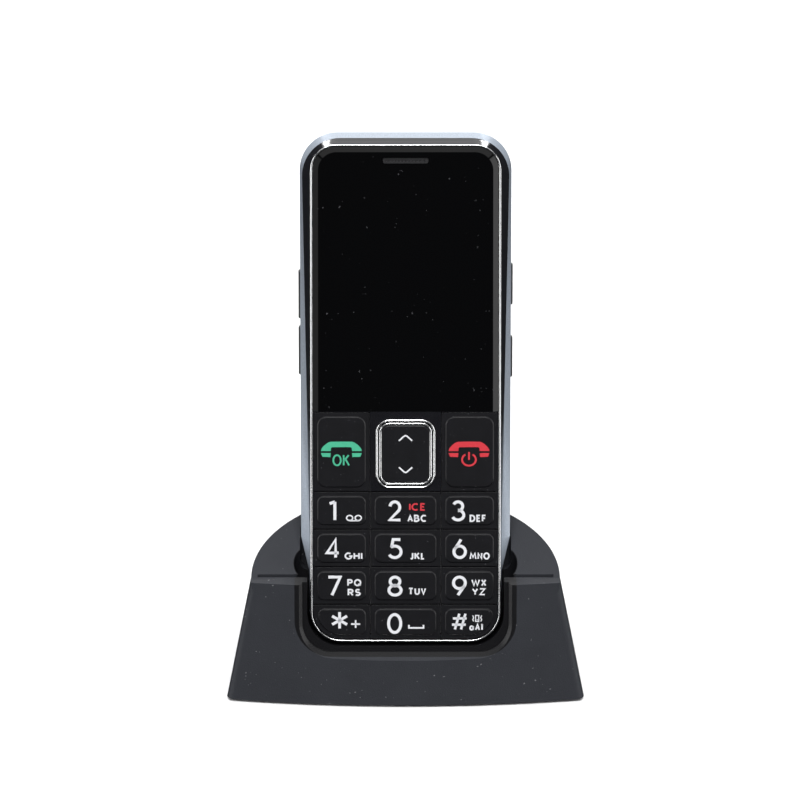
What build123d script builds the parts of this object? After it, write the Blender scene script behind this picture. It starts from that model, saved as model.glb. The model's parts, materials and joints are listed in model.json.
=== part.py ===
"""Feature phone with big keys, standing in its charging dock. Millimetres, +Z up.

The phone is modelled upright in its own frame: X across, Y from the face to the back, Z along
its length, with the face in the plane Y = 0 and the bottom edge of the face at Z = 0. It is then
leaned back and set into the dock, whose footprint is centred on the origin.
"""
from math import cos, radians, sin, sqrt, tan
import os

from build123d import *

# Driving dimensions of the phone
face_length = 135.8
face_half_top = 25.45
face_half_bottom = 25.8
body_half_width = 28.4
body_depth = 13.0
lean = 17.0

# Driving dimensions of the dock
dock_half_base = 49.3
dock_half_ledge = 41.95
dock_half_depth = 31.0
front_wall_height = 32.2
wing_run = 23.7
wing_slope = 30.0
wing_fall = 33.0

# Walls, gaps and cuts
wall = 1.6
running_gap = 0.15
slide_gap = 0.1
seat_gap = 0.05
overrun = 40.0

# Outlines of the phone, from the face to the back
shoulder_low = 18.6
shoulder_high = 28.0
band_half_top = 27.9
band_half_shoulder = 26.0
band_half_bottom = 26.0
waist_half_width = 26.3
end_flare = 1.0
top_flare = 2.5
rear_draw_in = 0.6
mid_flare_share = 0.5
back_draw_in = 3.4
corner_low = 8.4
corner_high = 7.0
body_corner_low = 9.0
body_corner_high = 10.2

# Depths in the phone, measured back from the face
ring_depth = 1.2
front_parting = 4.2
widest_depth = 6.8
rear_parting = 10.9
board_depth = 3.9
board_thickness = 1.0
deck_depth = 5.9
deck_thickness = 0.8

# Face trim and window
ring_width = 0.5
window_recess = 0.1
window_thickness = 1.2
window_bevel = 1.5
window_bevel_drop = 0.35
frame_plate = 1.2
ear_slot_width = 12.2
ear_slot_height = 1.6
ear_slot_level = 131.4
mesh_hole = 0.45
mesh_pitch = 0.9
mesh_thickness = 0.4

# Keypad
key_row_pitch = 10.4
key_rows = 4
keypad_top = 63.4
key_column_half = 9.55
key_gap = 0.3
key_margin = 0.9
key_depth = 2.05
key_recess = 0.15
key_travel = 0.45
pad_inset = 1.05
pad_rise = 0.35
pad_corner = 1.8
big_pad_corner = 2.5
pad_edge = 0.25
stem_radius = 1.6
stem_length = 0.15
nav_drop = 0.5
nav_ring_width = 16.1
nav_ring_height = 19.0
nav_ring_band = 0.6
nav_groove = 0.35
nav_trim_band = 0.6
nav_corner = 3.8
nav_depth = 2.65
mat_thickness = 0.8
dome_radius = 2.0
dome_height = 0.25

# Side buttons: low end, length and height of each, along the phone
side_button_width = 2.8
side_button_depth = 8.5
side_button_proud = 0.5
side_button_travel = 0.4
side_flange = 0.6
side_flange_lip = 0.7
side_head_corner = 0.4
volume_up_low = 87.8
volume_down_low = 72.5
volume_length = 13.1
torch_button_low = 91.6
camera_button_low = 71.8
right_button_length = 11.1
switch_depth = 1.6
switch_length = 4.5
switch_height = 2.4

# Works inside the phone
screen_width = 41.0
screen_length = 58.0
screen_low = 66.5
view_width = 37.0
view_length = 49.4
board_low = 3.0
board_high = 129.0
battery_width = 43.0
battery_length = 55.0
battery_thickness = 3.9
battery_low = 30.0
contact_pitch = 4.0
contact_width = 1.2
contact_length = 3.0
receiver_width = 12.0
receiver_height = 5.0
speaker_width = 15.0
speaker_length = 11.0
speaker_thickness = 3.4
speaker_low = 12.0
camera_size = 8.0
camera_depth = 4.0
camera_level = 118.0
camera_barrel_radius = 2.6
camera_window_radius = 4.2
torch_radius = 1.6
torch_place = 9.0
torch_recess = 0.45
motor_radius = 2.0
motor_length = 8.0
motor_level = 109.0
motor_place = 12.0
weight_radius = 1.8
weight_length = 3.0
motor_shaft_radius = 0.4
sim_width = 15.0
sim_length = 15.0
sim_thickness = 1.3
sim_low = 92.0
sim_place = 12.5
card_width = 12.0
shield_width = 30.0
shield_length = 22.0
shield_thickness = 0.9
shield_low = 62.0
microphone_radius = 2.0
microphone_height = 1.2
port_width = 7.6
port_height = 2.7
port_length = 5.4
port_wall = 0.35
port_depth = 7.4
charge_pad_place = 12.0
charge_pad_width = 4.0
charge_pad_height = 2.6
charge_pad_thickness = 0.6
antenna_height = 6.0
antenna_thickness = 0.8
screw_radius = 0.7
screw_head_radius = 1.3
screw_head_height = 0.6
boss_radius = 1.4
boss_place = 22.9
boss_levels = (65.6, 127.0)
rail_width = 1.0
rail_reach = 1.1
rail_length = 96.0
rail_low = 24.0
cover_wall = 1.2
grille_slot_length = 8.0
grille_slot_width = 0.9
grille_slot_count = 4
grille_slot_pitch = 2.2

# Dock
dock_wall = 2.2
face_setback = 3.0
seat_height = 16.2
front_bow = 3.5
foot_height = 0.8
foot_radius = 5.0
foot_place_x = 34.0
foot_place_front = 19.0
foot_place_back = 20.0
foot_recess = 0.7
skirt = 10.0
edge_round = 2.2
ledge_width = 5.55
ledge_edge = 1.95
ledge_groove = 0.8
ledge_groove_half = 40.2
cup_half_width = 28.0
cup_corner = 8.0
cup_drop = 1.6
cup_bevel = 2.0
slot_gap = 0.4
slot_corner = 2.5
relief_radius = 3.15
relief_place = 27.2
relief_depth = 5.4
relief_low = 14.0
pocket_wall = 2.0
floor_gap = 0.1
plate_thickness = 2.0
pin_radius = 0.75
pin_proud = 1.2
barrel_radius = 1.3
barrel_length = 6.0
pin_bore_gap = 0.05
board_width = 34.0
board_length = 11.0
board_plate = 1.2
socket_width = 8.0
socket_height = 3.0
socket_length = 6.5
socket_level = 7.0
socket_mouth = 1.2
wire_radius = 0.5
wire_bend = 4.0
wire_spread = 5.5
dock_screw_radius = 1.2
dock_screw_head = 2.4
dock_screw_place_x = 37.0
dock_screw_place_y = 9.0
dock_screw_depth = 7.0
dock_post_radius = 3.0

# Levels worked out from the sizes above
key_row_tops = [key_row_pitch * (row + 1) for row in range(key_rows)]
mat_depth = key_recess + key_depth + stem_length + key_travel + seat_gap
window_low = keypad_top + key_gap / 2
cover_depth = rear_parting + slide_gap
seat_run = (seat_height - foot_height) * tan(radians(lean)) + face_setback / cos(radians(lean))
phone_front = -dock_half_depth + seat_run
parts = {}


def facing(depth):
    """The plane parallel to the phone's face at this depth; sketches on it read as X and Z."""
    return Plane(origin=(0, depth, 0), x_dir=(1, 0, 0), z_dir=(0, -1, 0))


def slab(shape, front, thickness):
    """A sketch of the face made solid, from this depth backwards."""
    return extrude(facing(front + thickness) * shape, amount=thickness)


def block(width, depth, height, across=0, front=0, low=0):
    """A box that is centred across, with its front and its underside at the given places."""
    aligned = (Align.CENTER, Align.MIN, Align.MIN)
    return Pos(across, front, low) * Box(width, depth, height, align=aligned)


def tile(left, right, low, high, radius):
    """A rounded rectangle between four edges."""
    return Pos((left + right) / 2, (low + high) / 2) * RectangleRounded(right - left, high - low, radius)


def disc(radius, thickness, across, front, level):
    """A round plate parallel to the face."""
    return slab(Pos(across, level) * Circle(radius), front, thickness)


def rod(radius, length, across, depth, low):
    """A round bar along the phone's length."""
    aligned = (Align.CENTER, Align.CENTER, Align.MIN)
    return Pos(across, depth, low) * Cylinder(radius, length, align=aligned)


def outline(halves, levels, low_radius, high_radius, inset=0):
    """An outline of the phone from four half widths at four levels, drawn in by an inset."""
    halves = [half - inset for half in halves]
    levels = [levels[0] + inset, levels[1], levels[2], levels[3] - inset]
    right = list(zip(halves, levels))
    left = [(-half, level) for half, level in reversed(right)]
    shape = make_face(Polyline(*right, *left, close=True))
    shape = fillet(shape.vertices().group_by(Axis.Y)[-1], high_radius - inset)
    return fillet(shape.vertices().group_by(Axis.Y)[0], low_radius - inset)


def face_half_at(level):
    """Half the width of the face at a level: it narrows towards the bottom."""
    return face_half_bottom + (face_half_top - face_half_bottom) * level / face_length


def face_outline(inset=0):
    levels = (0, shoulder_low, shoulder_high, face_length)
    return outline([face_half_at(level) for level in levels], levels, corner_low, corner_high, inset)


def body_levels(share, draw=0):
    """The four levels of an outline whose ends flare by a share of the whole flare."""
    return draw - end_flare * share, shoulder_low, shoulder_high, face_length + top_flare * share - draw


def band_outline(inset=0):
    halves = (band_half_bottom, band_half_bottom, band_half_shoulder, band_half_top)
    levels = body_levels(mid_flare_share)
    return outline(halves, levels, body_corner_low, body_corner_high, inset)


def body_outline(inset=0):
    halves = (waist_half_width, waist_half_width, body_half_width, body_half_width)
    return outline(halves, body_levels(1), body_corner_low, body_corner_high, inset)


def band_half_at(level):
    """Half the width of the band between the shoulder and the top."""
    high = face_length + top_flare * mid_flare_share
    share = (level - shoulder_high) / (high - shoulder_high)
    return band_half_shoulder + (band_half_top - band_half_shoulder) * share


def bezel_ring():
    return slab(face_outline() - face_outline(ring_width), 0, ring_depth)


def keypad_panel():
    """The field that the keys fill, inside the ring and under the window."""
    field = Pos(0, keypad_top / 2) * Rectangle(overrun * 2, keypad_top)
    return face_outline(ring_width + slide_gap) & field


def nav_middle():
    """The navigation key sits a little under the middle of its cell."""
    return (keypad_top + key_row_tops[-1]) / 2 - nav_drop


def nav_shape(inset):
    """A rounded rectangle of the navigation key's family, drawn in by an inset."""
    width = nav_ring_width - inset - inset
    height = nav_ring_height - inset - inset
    return Pos(0, nav_middle()) * RectangleRounded(width, height, nav_corner - inset)


def nav_places():
    """Where the navigation key presses on the mat: above and below its middle."""
    return [(0, nav_middle() + side * nav_ring_height / 3) for side in (-1, 1)]


def nav_cell():
    low = key_row_tops[-1] + key_gap / 2
    return tile(-key_column_half, key_column_half, low, keypad_top, pad_edge)


def front_housing():
    """Black front frame: the band round the face, the plate behind the window and the key cell."""
    lip = facing(ring_depth) * face_outline()
    band = facing(front_parting) * band_outline()
    shell = loft([lip, band], ruled=True)
    shell += slab(face_outline(ring_width + seat_gap), key_recess, ring_depth - key_recess)
    plate_back = window_recess + window_thickness + seat_gap + frame_plate
    shell -= slab(face_outline(wall), plate_back, overrun)
    window = face_outline(ring_width) - Pos(0, window_low / 2) * Rectangle(overrun * 2, window_low)
    shell -= slab(window, 0, window_recess + window_thickness + seat_gap)
    shell -= slab(keypad_panel() - nav_cell(), 0, overrun)
    shell -= slab(nav_shape(0), 0, overrun)
    shell -= slab(screen_opening(), 0, overrun)
    shell -= slab(tile(*ear_slot_edges(), ear_slot_height / 3), 0, overrun)
    for across, level in boss_places():
        boss_length = deck_depth - slide_gap - plate_back
        shell += disc(boss_radius, boss_length, across, plate_back, level)
        shell -= disc(screw_radius + seat_gap, boss_length, across, plate_back, level)
    return shell


def boss_places():
    return [(side * boss_place, level) for side in (-1, 1) for level in boss_levels]


def ear_slot_edges():
    half_height = ear_slot_height / 2
    return -ear_slot_width / 2, ear_slot_width / 2, ear_slot_level - half_height, ear_slot_level + half_height


def screen_opening():
    middle = screen_low + screen_length / 2
    return Pos(0, middle) * Rectangle(view_width, view_length)


def display_window():
    """The glossy window over the display, with a bevel along its sides and its top."""
    shape = face_outline(ring_width + slide_gap) - Pos(0, window_low / 2) * Rectangle(
        overrun * 2, window_low)
    solid = slab(shape, window_recess, window_thickness)
    front_edges = solid.faces().sort_by(Axis.Y)[0].edges()
    beveled = [edge for edge in front_edges if edge.center().Z > window_low + key_gap]
    solid = chamfer(beveled, window_bevel_drop, window_bevel)
    left, right, low, high = ear_slot_edges()
    return solid - slab(tile(left, right, low, high, ear_slot_height / 3), 0, overrun)


def earpiece_mesh():
    """Fine grille seated in the slot over the receiver."""
    left, right, low, high = ear_slot_edges()
    shape = tile(left + seat_gap, right - seat_gap, low + seat_gap, high - seat_gap, ear_slot_height / 3)
    solid = slab(shape, window_recess + mesh_thickness, mesh_thickness)
    count = int((ear_slot_width - mesh_pitch) / mesh_pitch)
    for hole in range(count):
        across = (hole - (count - 1) / 2) * mesh_pitch
        solid -= disc(mesh_hole / 2, overrun, across, 0, ear_slot_level)
    return solid


def key_cap(cell, pad, across, level):
    """A key: a flat cap that fills its cell, a raised pad on it and a stem towards the mat."""
    cap = slab(cell, key_recess, key_depth)
    raised = slab(pad, key_recess - pad_rise, pad_rise)
    raised = chamfer(raised.faces().sort_by(Axis.Y)[0].edges(), pad_edge)
    stem = disc(stem_radius, stem_length, across, key_recess + key_depth, level)
    return cap + raised + stem


def rounded(shape, radius):
    """Round the corners of a sketch: it is drawn in by the radius and grown again with arcs."""
    return offset(offset(shape, amount=-radius, kind=Kind.INTERSECTION), amount=radius, kind=Kind.ARC)


def key_field(column, low, high, inset):
    """The space of a key between its neighbours and the edge of the face, drawn in by an inset."""
    near = key_column_half + key_gap / 2 + inset
    half = key_column_half - key_gap / 2 - inset
    left, right = ((-overrun, -near), (-half, half), (near, overrun))[column + 1]
    middle = Pos((left + right) / 2, (low + high) / 2)
    field = middle * Rectangle(right - left, high - low - key_gap - inset - inset)
    return field & face_outline(ring_width + key_gap + inset)


def grid_key(column, low, high, radius):
    """The key of a column, -1, 0 or 1, between two levels, and the place of its stem."""
    cell = rounded(key_field(column, low, high, 0), pad_edge)
    pad = rounded(key_field(column, low, high, pad_inset), radius)
    middle = pad.bounding_box().center()
    return key_cap(cell, pad, middle.X, middle.Y), (middle.X, middle.Y)


def keys():
    """All the keys but the navigation key, with the places of their stems."""
    names = (("star", "0", "hash"), ("7", "8", "9"), ("4", "5", "6"), ("1", "2", "3"))
    made = {}
    for row, row_names in enumerate(names):
        for column, name in zip((-1, 0, 1), row_names):
            low = key_row_pitch * row
            made["key_" + name] = grid_key(column, low, key_row_tops[row], pad_corner)
    for column, name in ((-1, "call"), (1, "end")):
        made["key_" + name] = grid_key(column, key_row_tops[-1], keypad_top, big_pad_corner)
    return made


def nav_ring():
    """Outer bright ring, fixed in the front housing round the navigation key."""
    return slab(nav_shape(seat_gap) - nav_shape(nav_ring_band), -pad_rise, nav_depth)


def nav_trim():
    """Inner bright ring, carried by the navigation key."""
    outer = nav_ring_band + nav_groove
    shape = nav_shape(outer) - nav_shape(outer + nav_trim_band)
    return slab(shape, -pad_rise, ring_depth)


def key_nav():
    outer = nav_ring_band + nav_groove
    inner = outer + nav_trim_band
    cap = slab(nav_shape(inner + seat_gap), key_recess - pad_rise, ring_depth + pad_rise)
    front_face = cap.faces().sort_by(Axis.Y)[0]
    cap = chamfer(front_face.edges(), pad_edge)
    base = slab(nav_shape(outer), ring_depth - pad_rise + seat_gap, nav_depth - ring_depth)
    return cap + base


def keypad_mat(places):
    """Rubber mat under the keys, with a nub on its back over each dome."""
    shape = face_outline(wall + running_gap) & Pos(0, keypad_top / 2) * Rectangle(overrun * 2, keypad_top)
    mat = slab(shape, mat_depth, mat_thickness - dome_height)
    for across, level in places:
        mat += disc(stem_radius / 2, dome_height, across, mat_depth + mat_thickness - dome_height, level)
    return mat


def dome_sheet(places):
    """Snap domes on the board, one under each key, joined by their carrier film."""
    film_thickness = dome_height / 5
    shape = face_outline(wall + key_margin) & Pos(0, keypad_top / 2) * Rectangle(
        overrun * 2, keypad_top - key_margin)
    film_front = board_depth - film_thickness - dome_height / 5
    sheet = slab(shape, film_front, film_thickness)
    for across, level in places:
        sheet += disc(dome_radius, dome_height / 5, across, film_front + film_thickness, level)
    return sheet


def main_board():
    shape = tile(-face_half_bottom + wall + pad_inset, face_half_bottom - wall - pad_inset,
                 board_low, board_high, corner_low / 2)
    board = slab(shape, board_depth, board_thickness)
    for across, level in boss_places():
        board -= disc(boss_radius + running_gap, overrun, across, 0, level)
    return board


def inner_space():
    return band_outline(wall)


def rear_housing():
    """Blue-grey housing: the wall round the phone and the deck that carries the battery."""
    sections = [
        facing(front_parting + seat_gap) * band_outline(),
        facing(widest_depth) * body_outline(),
        facing(rear_parting) * body_outline(rear_draw_in),
    ]
    shell = loft(sections, ruled=True) - slab(inner_space(), 0, overrun)
    deck = slab(band_outline(wall / 2), deck_depth, deck_thickness)
    for across, level in boss_places():
        deck -= disc(screw_radius + seat_gap, overrun, across, 0, level)
    shell += deck
    for _, side, low, length in side_buttons():
        shell -= flange_space(side, low, length)
    for side in (-1, 1):
        slot_width = rail_width + slide_gap * 2
        shell -= block(slot_width, rail_reach + slide_gap, overrun, side * rail_place(),
                       rear_parting - rail_reach - slide_gap, face_length - overrun / 2)
    shell -= block(port_width + slide_gap * 2, port_height + slide_gap * 2, overrun, 0,
                   port_depth - slide_gap, -overrun + port_length)
    for side in (-1, 1):
        shell -= block(charge_pad_width + slide_gap * 2, charge_pad_height + slide_gap * 2, overrun,
                       side * charge_pad_place, port_depth - slide_gap, -overrun + port_length / 2)
    for _, side, low, length in side_buttons():
        hole = side_button_prism(side, low, length, running_gap, overrun)
        shell -= hole
    shell -= block(torch_radius * 2 + slide_gap * 2, torch_radius * 2 + slide_gap * 2, overrun,
                   torch_place, port_depth - slide_gap, face_length - wall * 2)
    return shell


def rail_place():
    return band_half_shoulder - wall - rail_width


def side_buttons():
    """Name, side, low end and length of each button on the sides."""
    return (
        ("volume_up_button", -1, volume_up_low, volume_length),
        ("volume_down_button", -1, volume_down_low, volume_length),
        ("torch_button", 1, torch_button_low, right_button_length),
        ("camera_button", 1, camera_button_low, right_button_length),
    )


def side_button_prism(side, low, length, gap, reach):
    """The hole or the head of a side button, from inside the wall outwards."""
    inner = band_half_at(low) - wall - side_flange_lip
    width = reach - inner
    head = Pos(side * (inner + reach) / 2, side_button_depth, low + length / 2) * Box(
        width, side_button_width + gap * 2, length + gap * 2)
    return fillet(head.edges().filter_by(Axis.X), side_head_corner + gap)


def side_button(side, low, length):
    head = side_button_prism(side, low, length, 0, body_half_width + side_button_proud)
    outer_face = head.faces().sort_by(Axis.X)[-1 if side > 0 else 0]
    head = chamfer(outer_face.edges(), pad_edge)
    outer = band_half_at(low) - wall - slide_gap
    lip = side_flange_lip * 2
    flange = block(side_flange, side_button_width + lip, length + lip,
                   side * (outer - side_flange / 2), side_button_depth - side_button_width / 2 - lip / 2,
                   low - lip / 2)
    return head + flange


def flange_space(side, low, length):
    """Space in the deck for a side button's flange over its travel."""
    outer = band_half_at(low) - wall
    width = side_flange + side_button_travel + slide_gap * 2
    height = length + side_flange_lip * 2 + slide_gap * 2
    return block(width, overrun, height, side * (outer - width / 2), 0,
                 low - side_flange_lip - slide_gap)


def side_switches():
    """The four switches on the edge of the deck, one behind each side button."""
    group = []
    for _, side, low, length in side_buttons():
        near = band_half_at(low) - wall - slide_gap - side_flange - side_button_travel - seat_gap
        group.append(block(switch_depth, switch_height, switch_length, side * (near - switch_depth / 2),
                           deck_depth + deck_thickness + seat_gap, low + length / 2 - switch_length / 2))
    return Compound(children=group)


def battery_cover():
    """Back cover with rounded edges, two inner rails, the camera opening and the sound slots."""
    halves = (waist_half_width - rear_draw_in, waist_half_width - rear_draw_in,
              body_half_width - rear_draw_in, body_half_width - rear_draw_in)
    levels = body_levels(1, rear_draw_in)
    rim = outline(halves, levels, body_corner_low, body_corner_high)
    back = outline(halves, levels, body_corner_low, body_corner_high, back_draw_in)
    middle_depth = (cover_depth + body_depth) / 2
    shoulder = outline(halves, levels, body_corner_low, body_corner_high, back_draw_in / 4)
    shell = loft([facing(cover_depth) * rim, facing(middle_depth) * shoulder,
                  facing(body_depth) * back], ruled=True)
    hollow = outline(halves, levels, body_corner_low, body_corner_high, back_draw_in + wall)
    shell -= slab(hollow, 0, body_depth - cover_wall)
    for side in (-1, 1):
        shell += block(rail_width, rail_reach + cover_wall, rail_length, side * rail_place(),
                       cover_depth - rail_reach, rail_low)
    shell -= disc(camera_window_radius + seat_gap, overrun, 0, 0, camera_level)
    first = speaker_low + speaker_length / 2 - grille_slot_pitch * (grille_slot_count - 1) / 2
    for slot in range(grille_slot_count):
        shape = Pos(0, first + slot * grille_slot_pitch) * SlotOverall(grille_slot_length, grille_slot_width)
        shell -= slab(shape, 0, overrun)
    return shell


def camera_window():
    """Round lens cover seated in the back cover, with a shallow dish over the lens."""
    disc_solid = disc(camera_window_radius, cover_wall + seat_gap, 0,
                      body_depth - cover_wall, camera_level)
    return disc_solid - disc(camera_barrel_radius, seat_gap * 4, 0, body_depth - seat_gap * 2, camera_level)


def camera_module():
    """Camera block on the deck with its round lens barrel facing the back."""
    front = deck_depth + deck_thickness
    body = block(camera_size, camera_depth - window_thickness, camera_size, 0, front,
                 camera_level - camera_size / 2)
    return body + disc(camera_barrel_radius, window_thickness, 0,
                       front + camera_depth - window_thickness, camera_level)


def torch_lens():
    size = torch_radius * 2
    high = face_length + top_flare - slide_gap - torch_recess
    length = wall + slide_gap * 2
    lens = block(size, size, length, torch_place, port_depth, high - length)
    return fillet(lens.edges().filter_by(Axis.Z), torch_radius / 2)


def display_module():
    """The display panel: a glass sandwich on a slightly larger backlight tray."""
    front = window_recess + window_thickness + seat_gap + frame_plate + seat_gap
    tray = block(screen_width, board_depth - front - seat_gap, screen_length, 0, front, screen_low)
    tray = chamfer(tray.edges().filter_by(Axis.Y), pad_edge)
    proud = frame_plate - seat_gap
    glass = block(view_width - key_gap, proud, view_length - key_gap, 0, front - proud,
                  screen_low + (screen_length - view_length + key_gap) / 2)
    return tray + glass


def receiver():
    """Earpiece speaker behind the slot, seated on the plate behind the window."""
    front = window_recess + window_thickness + seat_gap + frame_plate + seat_gap
    depth = board_depth - front - seat_gap
    capsule = block(receiver_width, depth, receiver_height, 0, front,
                    ear_slot_level - receiver_height * 2 / 3)
    return chamfer(capsule.edges().filter_by(Axis.Y), pad_inset)


def battery():
    cell = block(battery_width, battery_thickness, battery_length, 0,
                 deck_depth + deck_thickness + seat_gap, battery_low)
    return fillet(cell.edges().filter_by(Axis.Z), pad_inset)


def battery_contacts():
    """Three spring contacts in a block above the battery."""
    low = battery_low + battery_length + running_gap
    front = deck_depth + deck_thickness
    carrier = block(contact_pitch * 3 + contact_width, contact_length, contact_length, 0, front,
                    low + slide_gap)
    for finger in (-1, 0, 1):
        carrier += block(contact_width, contact_width, slide_gap * 2, finger * contact_pitch,
                         front + contact_width, low)
    return carrier


def loudspeaker():
    box = block(speaker_width, speaker_thickness, speaker_length, 0, deck_depth + deck_thickness,
                speaker_low)
    box = fillet(box.edges().filter_by(Axis.Y), pad_corner)
    cone = Pos(0, deck_depth + deck_thickness + speaker_thickness, speaker_low + speaker_length / 2)
    dish = cone * Rot(90, 0, 0) * Cone(speaker_length / 3, speaker_length / 5, pad_edge * 2)
    return box - dish


def vibration_motor():
    """Motor can lying on the deck, with a thin shaft out of its upper end."""
    depth = deck_depth + deck_thickness + motor_radius
    can = rod(motor_radius, motor_length, -motor_place, depth, motor_level)
    return can + rod(motor_shaft_radius, weight_length + running_gap * 2, -motor_place, depth,
                     motor_level + motor_length)


def motor_weight():
    """Half-round weight on the motor's shaft, its heavy side down."""
    depth = deck_depth + deck_thickness + motor_radius
    low = motor_level + motor_length + running_gap
    ring = rod(weight_radius, weight_length, -motor_place, depth, low)
    keep = block(weight_radius * 2, weight_radius, weight_length, -motor_place, depth, low)
    hub = rod(motor_shaft_radius * 2, weight_length, -motor_place, depth, low)
    bore = rod(motor_shaft_radius + seat_gap, overrun, -motor_place, depth, low - wall)
    return (ring & keep) + hub - bore


def card_socket(width, across):
    """Flat metal socket for a card, open at its lower end."""
    front = deck_depth + deck_thickness
    shell = block(width, sim_thickness, sim_length, across, front, sim_low)
    slot = block(width - wall, sim_thickness / 2, sim_length, across,
                 front + sim_thickness / 4, sim_low - wall)
    return shell - slot


def rf_shield():
    can = block(shield_width, shield_thickness, shield_length, 0, board_depth + board_thickness, shield_low)
    return chamfer(can.edges().filter_by(Axis.Y), pad_edge)


def microphone():
    front = board_depth + board_thickness
    level = board_low + microphone_radius + microphone_height
    return disc(microphone_radius, shield_thickness, face_half_bottom / 2, front, level)


def usb_port():
    """Charging socket at the lower end, a thin metal shell with its tongue."""
    low = -end_flare + seat_gap * 2
    shell = block(port_width, port_height, port_length, 0, port_depth, low)
    mouth = block(port_width - port_wall * 2, port_height - port_wall * 2, port_length - port_wall, 0,
                  port_depth + port_wall, low)
    tongue = block(port_width / 2, port_height / 5, port_length - port_wall * 2, 0,
                   port_depth + port_height / 2, low + port_wall)
    return shell - mouth + tongue


def charge_pads():
    """Two flat contacts in the lower end that meet the dock's pins."""
    pads = [block(charge_pad_width, charge_pad_height, charge_pad_thickness, side * charge_pad_place,
                  port_depth, -end_flare + seat_gap) for side in (-1, 1)]
    return Compound(children=pads)


def antenna():
    """Flat antenna carrier at the top, over the deck."""
    front = deck_depth + deck_thickness
    width = face_half_top + face_half_top - body_corner_high * 2 - wall
    low = face_length - wall - antenna_height
    return block(width, antenna_thickness, antenna_height, 0, front, low)


def housing_screws():
    """Four screws through the deck into the front housing's bosses."""
    group = []
    for across, level in boss_places():
        shank_front = board_depth - seat_gap
        shank = disc(screw_radius, deck_depth + deck_thickness - shank_front, across, shank_front, level)
        head = disc(screw_head_radius, screw_head_height, across, deck_depth + deck_thickness, level)
        head -= block(screw_radius * 2, screw_head_height / 2, screw_radius / 3, across,
                      deck_depth + deck_thickness + screw_head_height / 2, level - screw_radius / 6)
        group.append(shank + head)
    return Compound(children=group)


def seated(solid):
    """A piece of the phone, leaned back and set down in the dock."""
    return Location((0, phone_front, seat_height), (-lean, 0, 0)) * solid


def dock_profile():
    """Side view of the dock: leaning front, sloping wings, back running down to the floor."""
    top_y, top_z = crest_place()
    points = [
        (-dock_half_depth - (skirt + foot_height) * tan(radians(lean)), -skirt),
        (ledge_place() - ledge_edge * tan(radians(lean)), front_wall_height - ledge_edge),
        (ledge_place() + ledge_edge / 2, front_wall_height),
        (ledge_place() + ledge_width, front_wall_height),
        (top_y, top_z),
        (back_place(-skirt), -skirt),
    ]
    return make_face(Polyline(*points, close=True))


def ledge_place():
    """How far back the leaning front wall has come at the level of the ledge."""
    return -dock_half_depth + (front_wall_height - foot_height) * tan(radians(lean))


def crest_place():
    return ledge_place() + ledge_width + wing_run, front_wall_height + wing_run * tan(radians(wing_slope))


def back_place(level):
    """Where the sloping back wall stands at a level."""
    top_y, top_z = crest_place()
    return dock_half_depth - (dock_half_depth - top_y) * (level - foot_height) / (top_z - foot_height)


def dock_wing_view(inset):
    """The dock as seen along its falling back, drawn on the plane of the wings: arch and sides."""
    fall = radians(wing_fall)
    front = -dock_half_depth - ledge_place() - ledge_width
    drop = front_wall_height - foot_height
    foot_reach = (drop * cos(fall) - front * sin(fall)) / sin(radians(wing_slope) + fall)
    spread = (dock_half_base - dock_half_ledge) / foot_reach
    ledge_half = dock_half_ledge - inset
    low = foot_reach * 3
    low_half = dock_half_ledge + low * spread - inset
    rise = wing_run / cos(radians(wing_slope)) - inset
    arch = EllipticalCenterArc((0, 0), ledge_half, rise, start_angle=0, arc_size=180)
    sides = Polyline((-ledge_half, 0), (-low_half, -low), (low_half, -low), (ledge_half, 0))
    return make_face([arch, sides])


def dock_plan(inset):
    """Plan of the dock with its front bowed gently outwards."""
    wide = dock_half_base + skirt
    bow_radius = (dock_half_base ** 2 + front_bow ** 2) / (front_bow + front_bow)
    middle_y = -dock_half_depth + bow_radius
    side_y = middle_y - sqrt((bow_radius - inset) ** 2 - wide ** 2)
    front = ThreePointArc((-wide, side_y), (0, inset - dock_half_depth), (wide, side_y))
    rest = Polyline((wide, side_y), (wide, overrun * 2), (-wide, overrun * 2), (-wide, side_y))
    return make_face([front, rest])


def dock_form(inset=0, corner=0):
    """The dock's outer form drawn in by an inset, running on below the floor."""
    wide = dock_half_base * 3
    side_plane = Plane(origin=(-wide / 2, 0, 0), x_dir=(0, 1, 0), z_dir=(1, 0, 0))
    profile = dock_profile()
    if inset > 0:
        profile = offset(profile, amount=-inset, kind=Kind.INTERSECTION)
    body = extrude(side_plane * profile, amount=wide)
    slope = radians(wing_slope)
    fall = radians(wing_fall)
    ahead = wide / 2
    wing_plane = Plane(
        origin=(0, ledge_place() + ledge_width - ahead * cos(fall), front_wall_height + ahead * sin(fall)),
        x_dir=(1, 0, 0), z_dir=(0, -sin(slope), cos(slope)))
    view = extrude(wing_plane * dock_wing_view(inset), amount=wide, dir=(0, cos(fall), -sin(fall)))
    leaning = (0, sin(radians(lean)), cos(radians(lean)))
    setback = (skirt + foot_height) * tan(radians(lean))
    plan = Plane.XY.offset(-skirt) * Pos(0, -setback) * dock_plan(inset)
    bowed = extrude(plan, amount=overrun * 3, dir=leaning)
    around = view & bowed
    if corner > 0:
        sides = [edge for edge in around.edges()
                 if abs(edge.center().X) > dock_half_ledge and edge.length > front_wall_height / 2]
        around = fillet([edge for edge in sides if edge.center().Y < -foot_place_front], corner)
    return body & around


def above(solid, level):
    return solid - block(overrun * 6, overrun * 6, overrun * 2, 0, -overrun * 3, level - overrun * 2)


def pocket(gap, low):
    """The space the phone's lower end fills, in the phone's frame, with a gap all round."""
    high = overrun * 2
    narrow = tile(-waist_half_width - gap, waist_half_width + gap, low, high, body_corner_low)
    wide_low = shoulder_low - gap - slide_gap
    wide = tile(-body_half_width - gap, body_half_width + gap, wide_low, high, slot_corner)
    return slab(narrow + wide, -gap, body_depth + gap * 2)


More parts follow.
